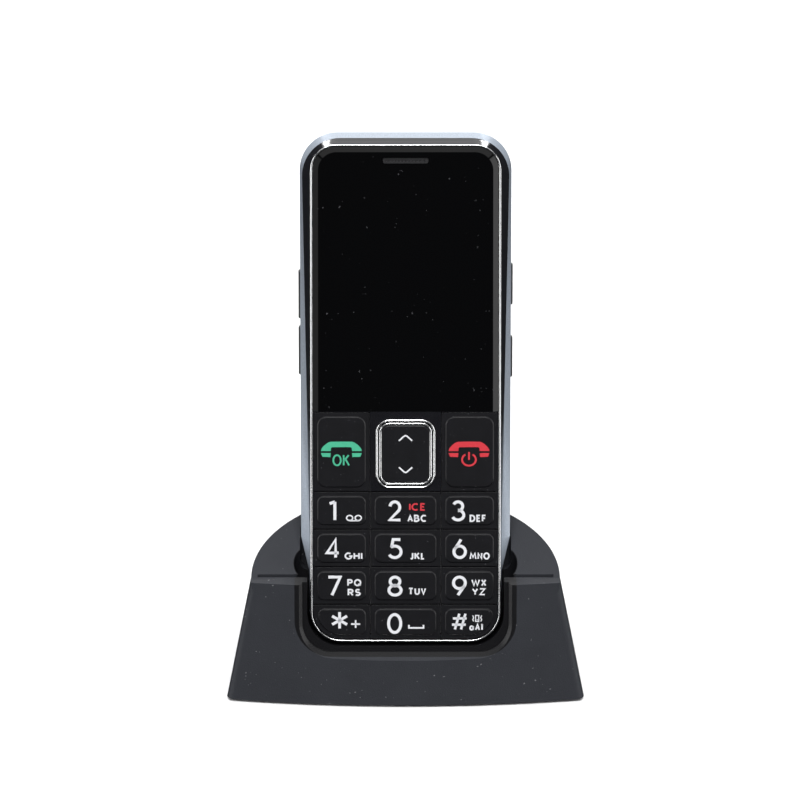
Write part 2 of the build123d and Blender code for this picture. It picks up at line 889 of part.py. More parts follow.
def cup(grow):
    low = -end_flare - cup_drop - grow
    return tile(-cup_half_width - grow, cup_half_width + grow, low, overrun * 3, cup_corner + grow)


def cup_opening():
    """U-shaped opening in the front wall, bevelled outwards, in the phone's frame."""
    straight = slab(cup(0), -face_setback, face_setback - slot_gap + running_gap)
    outer = cup_bevel * 3
    bevel = loft([facing(-face_setback + cup_bevel) * cup(0),
                  facing(-face_setback - cup_bevel * 2) * cup(outer)], ruled=True)
    return straight + bevel


def pin_places():
    return [side * charge_pad_place for side in (-1, 1)]


def pin_depth():
    return port_depth + charge_pad_height / 2


def dock_shell():
    """Upper shell of the dock: hollow, with the phone's pocket let into it."""
    outer = above(dock_form(0, edge_round), foot_height)
    hollow = dock_form(dock_wall)
    floor_low = -end_flare - floor_gap
    lining = seated(pocket(slot_gap + pocket_wall, floor_low - pocket_wall))
    shell = outer - (hollow - lining)
    shell -= seated(pocket(slot_gap, floor_low))
    shell -= seated(cup_opening())
    for side in (-1, 1):
        shell -= seated(rod(relief_radius, overrun, side * relief_place, relief_depth, relief_low))
    shell -= block(ledge_groove_half * 2, ledge_groove, ledge_groove * 2, 0, ledge_place() + ledge_width,
                   front_wall_height - ledge_groove)
    for across in pin_places():
        shell -= seated(rod(barrel_radius + slide_gap, overrun, across, pin_depth(), -overrun))
    shell -= socket_cut(slide_gap)
    for across, along in dock_screw_places():
        post_low = foot_height + plate_thickness + slide_gap
        post = rod(dock_post_radius, overrun, across, along, post_low) & dock_form(dock_wall / 2)
        shell += post - rod(dock_screw_radius + seat_gap, dock_screw_depth, across, along, 0)
    return shell


def dock_screw_places():
    return [(side * dock_screw_place_x, along) for side in (-1, 1)
            for along in (-dock_screw_place_y, dock_screw_place_y)]


def socket_back():
    return back_place(socket_level)


def socket_cut(gap):
    depth = socket_length + gap + overrun
    return block(socket_width + gap * 2, depth, socket_height + gap * 2, 0,
                 socket_back() - socket_length - socket_mouth - gap, socket_level - gap)


def dock_socket():
    """Charging socket in the back of the dock: a metal shell with its tongue."""
    front = socket_back() - socket_length - socket_mouth
    shell = block(socket_width, socket_length, socket_height, 0, front, socket_level)
    mouth = block(socket_width - port_wall * 2, socket_length - port_wall, socket_height - port_wall * 2, 0,
                  front + port_wall, socket_level + port_wall)
    tongue = block(socket_width / 2, socket_length - port_wall * 2, socket_height / 5, 0,
                   front + port_wall, socket_level + socket_height / 2)
    return shell - mouth + tongue


def dock_base_plate():
    """Flat lid in the underside of the dock, with recesses for the feet and screw holes."""
    lid = above(dock_form(dock_wall + running_gap), foot_height)
    lid -= block(overrun * 6, overrun * 6, overrun * 2, 0, -overrun * 3, foot_height + plate_thickness)
    for across, along in foot_places():
        lid -= rod(foot_radius + slide_gap, foot_recess + overrun, across, along, -overrun + foot_height)
    for across, along in dock_screw_places():
        lid -= rod(dock_screw_radius + seat_gap, overrun, across, along, 0)
        lid -= rod(dock_screw_head + slide_gap, plate_thickness / 2 + foot_height, across, along, 0)
    lid += socket_rest()
    return lid


def socket_rest():
    """Block on the lid that carries the socket and its little board."""
    depth = board_length
    front = socket_back() - socket_length - socket_mouth - slide_gap
    top = socket_level - board_plate - slide_gap
    low = foot_height + plate_thickness - seat_gap
    return block(socket_width * 2, depth / 2, top - low, 0, front, low)


def socket_board():
    front = socket_back() - socket_length - socket_mouth - slide_gap
    return block(socket_width * 2, socket_length - socket_mouth, board_plate, 0, front,
                 socket_level - board_plate)


def foot_places():
    return [(side * foot_place_x, along) for side in (-1, 1)
            for along in (-foot_place_front, foot_place_back)]


def dock_feet():
    height = foot_height + foot_recess - seat_gap
    pads = [fillet(rod(foot_radius, height, across, along, 0).edges().sort_by(Axis.Z)[0], pad_edge)
            for across, along in foot_places()]
    return Compound(children=pads)


def dock_screws():
    """Four screws up through the lid into the posts of the shell."""
    group = []
    for across, along in dock_screw_places():
        head = rod(dock_screw_head, plate_thickness / 2, across, along, foot_height)
        shank = rod(dock_screw_radius, dock_screw_depth - foot_height - plate_thickness, across, along,
                    foot_height + plate_thickness / 2)
        recess = block(dock_screw_head, dock_screw_radius / 3, plate_thickness / 4, across,
                       along - dock_screw_radius / 6, foot_height)
        group.append(head + shank - recess)
    return Compound(children=group)


def pin_board_top():
    return -end_flare - floor_gap - pocket_wall - seat_gap


def pin_board():
    """Small board under the pocket's floor, holding the two contact barrels."""
    high = pin_board_top()
    board = block(board_width, board_length, board_plate, 0, pin_depth() - board_length / 2,
                  high - board_plate)
    for across in pin_places():
        board -= rod(barrel_radius + slide_gap, overrun, across, pin_depth(), -overrun + high)
    return seated(board)


def pin_barrels():
    """Barrels of the two spring contacts, each with a collar on the board and a closed bottom."""
    high = -end_flare - floor_gap - seat_gap
    group = []
    for across in pin_places():
        tube = rod(barrel_radius, barrel_length, across, pin_depth(), high - barrel_length)
        collar = rod(barrel_radius * 3 / 2, pocket_wall / 2, across, pin_depth(),
                     pin_board_top() - board_plate - seat_gap - pocket_wall / 2)
        bore = rod(pin_radius + pin_bore_gap, barrel_length - pin_radius, across, pin_depth(),
                   high - barrel_length + pin_radius)
        group.append(seated(tube + collar - bore))
    return Compound(children=group)


def pin_plunger(across):
    """Sprung contact pin with a round head, resting against the phone's pad."""
    high = -end_flare + seat_gap - seat_gap / 2
    length = pin_proud + barrel_length / 2
    pin = rod(pin_radius, length, across, pin_depth(), high - length)
    return seated(fillet(pin.edges().sort_by(Axis.Z)[-1], pin_radius / 2))


def dock_wires():
    """Two insulated wires from the socket's board to the barrels' board."""
    group = []
    start_y = socket_back() - socket_length - socket_mouth - slide_gap * 2
    for side in (-1, 1):
        end = seated(Pos(side * wire_spread, pin_depth() - board_length / 2 + wire_radius * 2,
                         pin_board_top() - board_plate - wire_radius)).position
        start = Vector(side * wire_spread, start_y, socket_level - board_plate / 2)
        knee = Vector(side * wire_spread, end.Y + wire_bend, socket_level - board_plate / 2)
        foot = Vector(side * wire_spread, end.Y, end.Z - wire_bend / 2)
        path = FilletPolyline(start, knee, foot, end, radius=wire_bend / 4)
        ring = Plane(origin=start, z_dir=(0, -1, 0)) * Circle(wire_radius)
        group.append(sweep(ring, path=path))
    return Compound(children=group)


def build_phone():
    made_keys = keys()
    places = [place for _, place in made_keys.values()] + nav_places()
    phone = {
        "front_housing": front_housing(),
        "bezel_ring": bezel_ring(),
        "display_window": display_window(),
        "earpiece_mesh": earpiece_mesh(),
        "earpiece_receiver": receiver(),
        "display_module": display_module(),
        "nav_ring": nav_ring(),
        "nav_trim": nav_trim(),
        "key_nav": key_nav(),
        "keypad_mat": keypad_mat(places),
        "dome_sheet": dome_sheet(places),
        "main_board": main_board(),
        "rf_shield": rf_shield(),
        "microphone": microphone(),
        "rear_housing": rear_housing(),
        "side_switches": side_switches(),
        "battery": battery(),
        "battery_contacts": battery_contacts(),
        "battery_cover": battery_cover(),
        "camera_module": camera_module(),
        "camera_window": camera_window(),
        "torch_lens": torch_lens(),
        "loudspeaker": loudspeaker(),
        "vibration_motor": vibration_motor(),
        "motor_weight": motor_weight(),
        "sim_socket": card_socket(sim_width, sim_place),
        "memory_card_socket": card_socket(card_width, -sim_place),
        "usb_port": usb_port(),
        "charge_pads": charge_pads(),
        "antenna": antenna(),
        "housing_screws": housing_screws(),
    }
    phone.update({name: solid for name, (solid, _) in made_keys.items()})
    phone.update({name: side_button(side, low, length) for name, side, low, length in side_buttons()})
    return {name: seated(solid) for name, solid in phone.items()}


def build_dock():
    left, right = pin_places()
    return {
        "dock_shell": dock_shell(),
        "dock_base_plate": dock_base_plate(),
        "dock_feet": dock_feet(),
        "dock_screws": dock_screws(),
        "dock_socket": dock_socket(),
        "socket_board": socket_board(),
        "pin_board": pin_board(),
        "pin_barrels": pin_barrels(),
        "pin_left": pin_plunger(left),
        "pin_right": pin_plunger(right),
        "dock_wires": dock_wires(),
    }


parts.update(build_phone())
parts.update(build_dock())
os.makedirs("parts", exist_ok=True)
for name, solid in parts.items():
    export_step(solid, "parts/" + name + ".step")
    box = solid.bounding_box()
    print(name, len(solid.solids()), round(solid.volume, 1), box.min, box.max)
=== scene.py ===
# %% [markdown]
# # A feature phone in its charging dock
#
# The phone is a flat bar with a bright rim, a black window and big keys. It leans in a matte black
# dock. The construction is finished already, so this script gives it its looks: rounded edges,
# printed key marks, finishes, light and a camera. The first cell loads the construction as a fixed
# frame in metres.

# %% Load the construction
import json
import math

import bpy
from mathutils import Matrix, Vector

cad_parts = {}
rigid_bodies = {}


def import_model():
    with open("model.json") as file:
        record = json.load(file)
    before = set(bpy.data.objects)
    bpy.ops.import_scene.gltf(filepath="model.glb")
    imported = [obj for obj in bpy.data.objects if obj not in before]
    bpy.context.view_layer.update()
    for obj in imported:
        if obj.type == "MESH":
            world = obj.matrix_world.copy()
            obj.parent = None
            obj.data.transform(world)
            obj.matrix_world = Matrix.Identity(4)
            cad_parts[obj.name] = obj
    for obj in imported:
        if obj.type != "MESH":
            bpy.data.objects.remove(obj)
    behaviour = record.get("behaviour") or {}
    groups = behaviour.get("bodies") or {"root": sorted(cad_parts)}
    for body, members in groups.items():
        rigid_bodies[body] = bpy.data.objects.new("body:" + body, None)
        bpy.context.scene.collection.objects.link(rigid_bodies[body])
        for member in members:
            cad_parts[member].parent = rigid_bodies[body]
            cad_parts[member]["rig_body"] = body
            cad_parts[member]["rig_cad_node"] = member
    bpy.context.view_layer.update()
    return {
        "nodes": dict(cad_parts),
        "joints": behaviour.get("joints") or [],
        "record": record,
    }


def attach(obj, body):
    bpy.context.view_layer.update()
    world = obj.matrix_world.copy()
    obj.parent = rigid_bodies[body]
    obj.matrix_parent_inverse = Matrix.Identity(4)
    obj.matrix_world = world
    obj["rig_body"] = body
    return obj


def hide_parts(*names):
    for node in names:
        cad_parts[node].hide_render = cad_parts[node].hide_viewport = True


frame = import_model()
mm = 0.001

# %% [markdown]
# ## The phone's own directions
#
# Marks on the keys are placed by how far they stand from the bottom of the face, so a frame that
# leans with the phone is handy. The joints hold its directions: the phone lifts out along its
# length, and a key is pressed straight into its face. The bright rim gives the place, because it
# reaches the lowest and the foremost point of the face.

# %% Find the plane of the face
def span_of(node, direction):
    """Where a piece starts and ends along a direction, in metres."""
    places = [vertex.co.dot(direction) for vertex in frame["nodes"][node].data.vertices]
    return min(places), max(places)


axes = {joint["name"]: Vector(joint["axis"]).normalized() for joint in frame["joints"]}
along = axes["phone_lift"]
inward = axes["key_5_press"]
across = Vector((1, 0, 0))
face_low, face_high = span_of("bezel_ring", along)
face_front = span_of("bezel_ring", inward)[0]
face_origin = along * face_low + inward * face_front
face_place = Matrix.Translation(face_origin) @ Matrix((across, along, -inward)).transposed().to_4x4()
print("length of the face", round((face_high - face_low) / mm, 2), "mm")

# %% [markdown]
# ## Camera
#
# A product photographer stands well back and uses a long lens, which keeps the sides of the phone
# almost parallel. The camera looks down at 27 degrees, and its height and distance were matched to
# the width of the dock and the two ends of the phone in the picture.

# %% Set up the camera
view_tilt = math.radians(27)
view_distance = 1.1
view_target = Vector((-1.5, -3.4, 79.9)) * mm
view_lens = 184
back_to_camera = Vector((0, -math.cos(view_tilt), math.sin(view_tilt)))
camera_data = bpy.data.cameras.new("camera")
camera_data.lens = view_lens
camera = bpy.data.objects.new("camera", camera_data)
bpy.context.scene.collection.objects.link(camera)
camera.location = view_target + back_to_camera * view_distance
camera.rotation_euler = (math.pi / 2 - view_tilt, 0, 0)
bpy.context.scene.camera = camera
print("camera at", tuple(round(c, 3) for c in camera.location))

# %% [markdown]
# ## Floor and light
#
# The picture has a white sweep and broad, soft light. Gloss black plastic shows what it reflects,
# so the room itself stays dim, the white floor lights and mirrors nothing, and lamps stand where the
# real highlights come from: one wide above, one high in front, one on each side for the blue-grey
# flanks, one behind for the top edge, with two small ones for the bright spots on its corners, and
# three dim cards beside and above the camera for the window's bevels.

# %% Lay the floor
floor_size = 6
bpy.ops.object.select_all(action="DESELECT")
bpy.ops.mesh.primitive_plane_add(size=floor_size, location=(0, 0, 0))
floor = bpy.context.object
floor.name = "floor"
floor.visible_glossy = False
floor.visible_diffuse = False

# %% Hang the lamps
room_colour = (0.9, 0.94, 1, 1)
room_strength = 0.04
room = bpy.context.scene.world or bpy.data.worlds.new("room")
bpy.context.scene.world = room
room.use_nodes = True
background = room.node_tree.nodes["Background"]
background.inputs["Color"].default_value = room_colour
background.inputs["Strength"].default_value = room_strength
bpy.context.scene.view_settings.view_transform = "Standard"

# Each lamp has its place, width and height in metres, and its power in watts.
lamps = {
    "lamp_above": ((0, 0.3, 2.2), 5.0, 3.0, 40),
    "lamp_front": ((0, -1.25, 2.0), 1.4, 0.6, 52),
    "lamp_left": ((-1.3, -0.35, 0.3), 0.9, 1.2, 12),
    "lamp_right": ((1.3, -0.35, 0.3), 0.9, 1.2, 12),
    "lamp_back": ((0, 1.25, 1.0), 1.5, 0.5, 3.5),
    "spot_left": ((-0.43, 1.17, 0.72), 0.18, 0.3, 3.5),
    "spot_right": ((0.43, 1.17, 0.72), 0.18, 0.3, 3.5),
    "card_top": ((0, -1.5, 1.15), 1.4, 0.5, 1.3),
    "card_right": ((0.62, -1.15, 0.28), 0.12, 0.9, 0.5),
    "card_left": ((-0.62, -1.15, 0.28), 0.12, 0.9, 0.14),
}
aim = Vector((0, 0, 0.06))
for name, (place, width, height, power) in lamps.items():
    bpy.ops.object.light_add(type="AREA", location=place)
    lamp = bpy.context.object
    lamp.name = name
    lamp.data.shape = "RECTANGLE"
    lamp.data.size = width
    lamp.data.size_y = height
    lamp.data.energy = power
    lamp.rotation_euler = (aim - Vector(place)).to_track_quat("-Z", "Y").to_euler()
print(len(lamps), "lamps")

# %% [markdown]
# ## A small shader language
#
# A finish is a formula over the surface: a bit rougher here, a lighter speck there. Adding each
# node by hand hides the formula, so a socket is wrapped in a class whose operators add the nodes.
# `noise * 0.2 + 0.4` then reads as it means. Every other node comes from one method.

# %% Wrap a socket
class Level:
    """A number that changes over the surface, on which Python's operators work."""

    def __init__(self, finish, socket):
        self.finish = finish
        self.socket = socket

    def __add__(self, other):
        return self.finish.math("ADD", self, other)

    def __sub__(self, other):
        return self.finish.math("SUBTRACT", self, other)

    def __rsub__(self, other):
        return self.finish.math("SUBTRACT", other, self)

    def __mul__(self, other):
        return self.finish.math("MULTIPLY", self, other)

    def __gt__(self, other):
        return self.finish.math("GREATER_THAN", self, other)

    __radd__ = __add__
    __rmul__ = __mul__


# %% Wrap a material
# A mix of colours has its two tones at these places among the sockets of its node.
tone_sockets = (6, 7)


class Finish:
    """A material, its shader, and the one method that adds nodes to it."""

    def __init__(self, name, **fixed):
        self.material = bpy.data.materials.new(name)
        self.material.use_nodes = True
        self.tree = self.material.node_tree
        self.shader = self.tree.nodes["Principled BSDF"]
        for socket, value in fixed.items():
            self.set(socket.replace("_", " "), value)

    def put(self, socket, value):
        if isinstance(value, Level):
            self.tree.links.new(value.socket, socket)
        else:
            socket.default_value = value

    def set(self, socket, value):
        self.put(self.shader.inputs[socket], value)

    def add(self, kind, settings, sockets):
        node = self.tree.nodes.new(kind)
        for setting, value in settings.items():
            setattr(node, setting, value)
        for socket, value in sockets.items():
            self.put(node.inputs[socket], value)
        return {output.name: Level(self, output) for output in node.outputs if output.enabled}

    def math(self, operation, first, second=0):
        settings = {"operation": operation}
        return self.add("ShaderNodeMath", settings, {0: first, 1: second})["Value"]

    def place(self, scale=(1, 1, 1)):
        """Places on the object in millimetres, stretched where a scale says so."""
        read = self.add("ShaderNodeTexCoord", {}, {})["Object"]
        per_mm = [share / mm for share in scale]
        return self.add("ShaderNodeMapping", {}, {"Vector": read, "Scale": per_mm})["Vector"]

    def noise(self, size, detail=2, scale=(1, 1, 1)):
        """Soft clouds, whose size is in millimetres."""
        sockets = {"Vector": self.place(scale), "Scale": 1 / size, "Detail": detail}
        return self.add("ShaderNodeTexNoise", {}, sockets)["Fac"]

    def step(self, value, low, high):
        """A ramp from 0 to 1 between two levels."""
        sockets = {"Value": value, "From Min": low, "From Max": high}
        return self.add("ShaderNodeMapRange", {"clamp": True}, sockets)["Result"]

    def mix(self, mask, first, second):
        """A colour between two, where a mask is 0 and 1."""
        sockets = {"Factor": mask}
        for place, tone in zip(tone_sockets, (first, second)):
            sockets[place] = tone if isinstance(tone, Level) else (*tone, 1)
        return self.add("ShaderNodeMix", {"data_type": "RGBA"}, sockets)["Result"]

    def colour(self, mask, dark, light):
        """Colours the surface between two tones."""
        self.set("Base Color", self.mix(mask, dark, light))

    def roughen(self, mask, low, high):
        """Sets the roughness between two values, where a mask is 0 and 1."""
        self.set("Roughness", mask * (high - low) + low)

    def bump(self, height, depth):
        """Relief whose full height is a depth in millimetres."""
        sockets = {"Height": height, "Distance": depth * mm, "Strength": 1}
        self.set("Normal", self.add("ShaderNodeBump", {}, sockets)["Normal"])


# %% [markdown]
# ## The mouth of the dock
#
# The dock is dull all over, but for the mouth of its slot, where the phone slides in: its bevelled
# rim is polished and painted near black as painted shade, and the hollows at the slot's ends are
# painted black as painted shade for their depth. Both could be pieces of their own, but no seam
# shows there. So two masks find them by distance formulas on the place in millimetres: the mouth is
# a U with rounded corners, and a hollow is a round groove. Both lean with the phone.

# %% Find the mouth
mouth_half_width = 28.0
mouth_corner = 8.0
mouth_drop = 1.6
mouth_bevel = 2.1
mouth_depth = 3.0
hollow_place = 27.2
hollow_depth = 5.4
hollow_radius = 3.3


def length(finish, first, second):
    return finish.math("SQRT", first * first + second * second)


def slot_mouth(finish):
    """Two masks for painted shade: the bevelled rim of the dock's opening, and the hollows at the slot's
    ends.
    """
    spot = finish.add("ShaderNodeSeparateXYZ", {}, {"Vector": finish.place()})
    level = spot["Y"] * along.y + spot["Z"] * along.z - face_low / mm
    depth = spot["Y"] * inward.y + spot["Z"] * inward.z - face_front / mm
    from_middle = finish.math("ABSOLUTE", spot["X"])
    side = from_middle - (mouth_half_width - mouth_corner)
    under = (mouth_corner - mouth_drop) - level
    outward = length(finish, finish.math("MAXIMUM", side, 0), finish.math("MAXIMUM", under, 0))
    rim = (1 - (outward > mouth_corner + mouth_bevel)) * (1 - (depth > mouth_depth))
    from_groove = length(finish, from_middle - hollow_place, depth - hollow_depth)
    hollow_shade = 1 - (from_groove > hollow_radius)
    return rim, hollow_shade


print("mouth", 2 * mouth_half_width, "mm wide")

# %% [markdown]
# ## Moulded black plastics
#
# The dock has the dull, even grain of a spark-eroded mould, with stray pale dust on it. The keys
# are smoother, and the frame round the face is polished. All of them are black, and what tells them
# apart is the roughness and the grain.

# %% Mould the blacks
speck_share = 1 / 8
speck_levels = (0.80, 0.84)
patch_levels = (0.5, 0.62)


def dust(finish, spacing):
    """Rare pale specks: the peaks of a fine noise, kept where a coarse one lets them."""
    fine = finish.step(finish.noise(spacing * speck_share, detail=0), *speck_levels)
    coarse = finish.step(finish.noise(spacing, detail=1), *patch_levels)
    return fine * coarse


def dock_plastic():
    finish = Finish("dock_plastic", Specular_IOR_Level=0.15, Coat_Roughness=0.3)
    grain = finish.noise(size=0.35, detail=3)
    cloud = finish.noise(size=9, detail=3)
    base = finish.mix(cloud, (0.0255, 0.027, 0.032), (0.032, 0.034, 0.040))
    base = finish.mix(dust(finish, spacing=5), base, (0.16, 0.16, 0.17))
    # The rim and the hollows are painted near black as painted shade for the shadowed mouth and its deep
    # hollows; the rim also gets a polished coat.
    rim, hollow_shade = slot_mouth(finish)
    painted_mouth_shade = finish.math("MAXIMUM", rim, hollow_shade)
    finish.colour(painted_mouth_shade, base, (0.004, 0.004, 0.005))
    finish.set("Coat Weight", rim * 0.3)
    finish.roughen(grain, low=0.44, high=0.60)
    finish.bump(grain, depth=0.05)
    return finish.material


def key_plastic():
    finish = Finish("key_plastic", Specular_IOR_Level=0.3)
    grain = finish.noise(size=0.18)
    cloud = finish.noise(size=4)
    base = finish.mix(cloud, (0.006, 0.006, 0.007), (0.010, 0.010, 0.012))
    finish.colour(dust(finish, spacing=3), base, (0.10, 0.10, 0.11))
    finish.roughen(grain, low=0.30, high=0.42)
    finish.bump(grain, depth=0.01)
    return finish.material


def polished_black():
    finish = Finish("polished_black", Specular_IOR_Level=0.5)
    wear = finish.noise(size=2.5, detail=4)
    finish.colour(wear, (0.006, 0.006, 0.008), (0.010, 0.010, 0.012))
    finish.roughen(wear, low=0.10, high=0.22)
    return finish.material


def window_plastic():
    finish = Finish("window_plastic", Specular_IOR_Level=0.5)
    smear = finish.noise(size=14, detail=4, scale=(1, 0.35, 0.35))
    specks = dust(finish, spacing=6)
    finish.colour(specks, (0.0012, 0.0012, 0.0014), (0.05, 0.05, 0.055))
    finish.set("Roughness", specks * 0.3 + smear * 0.05 + 0.03)
    return finish.material


finishes = {
    "gloss_black": polished_black(),
    "window": window_plastic(),
    "key_black": key_plastic(),
    "dock_black": dock_plastic(),
}
print("blacks:", ", ".join(finishes))

# %% [markdown]
# ## Metals and paint
#
# The rim is plated, so it mirrors, and its colour is nearly white. The flanks are painted in a
# blue-grey with fine metal flakes under a thin clear coat. The shield, the sockets and the screws
# are brushed steel, the contacts are gold, and the torch's lens is clear.

# %% Plate and paint
def bright_plate():
    finish = Finish("bright_plate", Metallic=1.0)
    rub = finish.noise(size=3)
    finish.colour(rub, (0.86, 0.87, 0.88), (0.95, 0.95, 0.95))
    finish.roughen(rub, low=0.14, high=0.20)
    return finish.material


def flake_paint():
    finish = Finish("flake_paint", Metallic=0.4, Coat_Weight=0.4, Coat_Roughness=0.06)
    flakes = finish.noise(size=0.12, detail=1)
    cloud = finish.noise(size=12)
    base = finish.mix(flakes, (0.33, 0.38, 0.45), (0.49, 0.55, 0.62))
    finish.colour(cloud * 0.3, base, (0.47, 0.50, 0.59))
    finish.roughen(flakes, low=0.22, high=0.36)
    return finish.material


def stamped_steel():
    finish = Finish("stamped_steel", Metallic=1.0)
    brush = finish.noise(size=0.6, detail=3, scale=(0.2, 1, 1))
    finish.colour(brush, (0.52, 0.52, 0.53), (0.66, 0.66, 0.66))
    finish.roughen(brush, low=0.26, high=0.46)
    finish.bump(brush, depth=0.01)
    return finish.material


def gold_plate():
    finish = Finish("gold_plate", Metallic=1.0)
    rub = finish.noise(size=0.8, detail=3)
    finish.colour(rub, (0.78, 0.55, 0.22), (0.92, 0.70, 0.32))
    finish.roughen(rub, low=0.18, high=0.33)
    return finish.material


def clear_plastic():
    finish = Finish("clear_plastic", Transmission_Weight=0.7, IOR=1.5)
    haze = finish.noise(size=0.9)
    finish.colour(haze, (0.85, 0.87, 0.9), (0.95, 0.96, 0.98))
    finish.roughen(haze, low=0.05, high=0.15)
    return finish.material


metals = {
    "bright_trim": bright_plate(),
    "blue_grey": flake_paint(),
    "steel": stamped_steel(),
    "gold_contact": gold_plate(),
    "clear_lens": clear_plastic(),
}
finishes.update(metals)
print("metals, paint and lens:", ", ".join(metals))

# %% [markdown]
# ## Plain small parts and ink
#
# Boards, wrap, rubber and the parts that hardly show need no formula of their own: each is a grain
# of one size between two tones. One function makes them from a table. Ink is as simple, but has no
# relief.

# %% Finish the small parts
def grained(name, dark, light, size, low, high, depth):
    """A plain finish between two tones, with grain of one size."""
    finish = Finish(name)
    grain = finish.noise(size, detail=3)
    finish.colour(grain, dark, light)
    finish.roughen(grain, low, high)
    finish.bump(grain, depth)
    return finish.material


def print_ink(name, dark, light):
    finish = Finish(name)
    cover = finish.noise(size=0.5, detail=3)
    finish.colour(cover, dark, light)
    finish.roughen(cover, low=0.38, high=0.53)
    return finish.material


# Each row has a name, two tones, the grain in millimetres, two roughnesses and the relief.
plain_finishes = {
    "fine_mesh": ("mesh_steel", (0.008, 0.008, 0.009), (0.03, 0.03, 0.032), 0.4, 0.3, 0.5, 0.02),
    "dark_parts": ("dark_moulding", (0.02, 0.02, 0.022), (0.04, 0.04, 0.044), 0.5, 0.35, 0.55, 0.02),
    "display": ("display_glass", (0.008, 0.009, 0.013), (0.014, 0.015, 0.02), 6, 0.04, 0.12, 0.005),
    "mat_rubber": ("mat_rubber", (0.10, 0.10, 0.11), (0.15, 0.15, 0.16), 0.8, 0.6, 0.8, 0.03),
    "board_green": ("board_lacquer", (0.01, 0.10, 0.05), (0.02, 0.16, 0.08), 0.7, 0.2, 0.4, 0.02),
    "battery_wrap": ("battery_wrap", (0.55, 0.56, 0.58), (0.68, 0.69, 0.70), 2.0, 0.3, 0.5, 0.03),
    "cover_black": ("cover_black", (0.016, 0.016, 0.018), (0.026, 0.026, 0.030), 0.3, 0.34, 0.5, 0.03),
    "foot_rubber": ("foot_rubber", (0.012, 0.012, 0.012), (0.022, 0.022, 0.022), 0.5, 0.7, 0.9, 0.04),
    "button_black": ("button_black", (0.010, 0.010, 0.012), (0.018, 0.018, 0.020), 0.3, 0.25, 0.4, 0.01),
    "wire_coat": ("wire_coat", (0.35, 0.02, 0.02), (0.48, 0.04, 0.04), 0.6, 0.35, 0.5, 0.01),
}
for slot, recipe in plain_finishes.items():
    finishes[slot] = grained(*recipe)
white_ink = print_ink("white_ink", (0.68, 0.69, 0.72), (0.77, 0.78, 0.81))
green_ink = print_ink("green_ink", (0.055, 0.40, 0.23), (0.075, 0.48, 0.29))
red_ink = print_ink("red_ink", (0.55, 0.028, 0.04), (0.65, 0.044, 0.06))
floor_paint = grained("floor_paint", (0.86, 0.86, 0.87), (0.90, 0.90, 0.90), 400, 0.6, 0.8, 0.01)
print(len(plain_finishes), "plain finishes and three inks")

# %% [markdown]
# ## Handing the finishes out
#
# The construction names a finish slot for each piece, so no piece is forgotten: one loop gives each
# its own finish.

# %% Give every piece its finish
floor.data.materials.append(floor_paint)
slots = {row["node"]: row["material_slot"] for row in frame["record"]["subparts"]}
for node, piece in frame["nodes"].items():
    piece.data.materials.clear()
    piece.data.materials.append(finishes[slots[node]])
print(len(finishes), "finishes on", len(frame["nodes"]), "pieces")

# %% [markdown]
# ## Rounding what is moulded
#
# No moulded edge is sharp: it catches a thin line of light, which is what makes a rendered edge
# look real. Each shell is copied from the construction, its loose triangles are joined, flat areas
# are made one face again, and a bevel rounds every edge that turns by more than 30 degrees.
# The large faces then lead the shading, so that they stay flat right up to the rounding.

# %% Copy a piece and round its edges
bodies = {node: piece["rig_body"] for node, piece in frame["nodes"].items()}
merge_distance = 0.002 * mm
flat_angle = math.radians(0.6)
edge_angle = math.radians(30)
edge_steps = 3


def finish_copy(node):
    """A copy of a piece with its triangles joined, which stands for that piece."""
    source = frame["nodes"][node]
    bpy.ops.object.select_all(action="DESELECT")
    piece = source.copy()
    piece.data = source.data.copy()
    piece.name = node + "_finished"
    del piece["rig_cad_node"]
    bpy.context.scene.collection.objects.link(piece)
    bpy.context.view_layer.objects.active = piece
    piece.select_set(True)
    bpy.ops.object.mode_set(mode="EDIT")
    bpy.ops.mesh.select_all(action="SELECT")
    bpy.ops.mesh.remove_doubles(threshold=merge_distance)
    bpy.ops.mesh.dissolve_limited(angle_limit=flat_angle)
    bpy.ops.object.mode_set(mode="OBJECT")
    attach(piece, bodies[node])
    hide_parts(node)
    return piece


def round_edges(piece, radius):
    """Rounds each edge that turns by more than an angle, and smooths what curves."""
    bevel = piece.modifiers.new("rounding", "BEVEL")
    bevel.width = radius * mm
    bevel.segments = edge_steps
    bevel.limit_method = "ANGLE"
    bevel.angle_limit = edge_angle
    bpy.context.view_layer.objects.active = piece
    bpy.ops.object.modifier_apply(modifier=bevel.name)
    bpy.ops.object.shade_smooth_by_angle(angle=edge_angle)
    weights = piece.modifiers.new("even_light", "WEIGHTED_NORMAL")
    weights.keep_sharp = True
    bpy.ops.object.modifier_apply(modifier=weights.name)


# %% Round the shells, the rims and the keys
key_edge = 0.12
edge_radii = {"dock_shell": 0.7, "front_housing": 0.18, "rear_housing": 0.3, "battery_cover": 0.5,
              "bezel_ring": 0.22, "nav_ring": 0.26, "nav_trim": 0.26, "camera_window": 0.2,
              "volume_up_button": 0.15, "volume_down_button": 0.15, "torch_button": 0.15,
              "camera_button": 0.15, "dock_base_plate": 0.3, "torch_lens": 0.2}
edge_radii.update({node: key_edge for node in frame["nodes"] if node.startswith("key_")})
for node, radius in edge_radii.items():
    piece = finish_copy(node)
    round_edges(piece, radius)
    print(node, len(piece.data.polygons), "faces")

# %% [markdown]
# ## Printed marks
#
# The numbers are printed in a round, even-stroked face, like a geometric sign letter. The built-in
# font has other shapes, so each sign is drawn as pen strokes instead: straight runs and arcs in a
# box one unit wide and high. A stroke becomes a flat ribbon with mitred corners, and the ribbons
# are extruded to a thin film of ink. An arc is written as its middle, its two radii and the angles
# where it starts and ends.

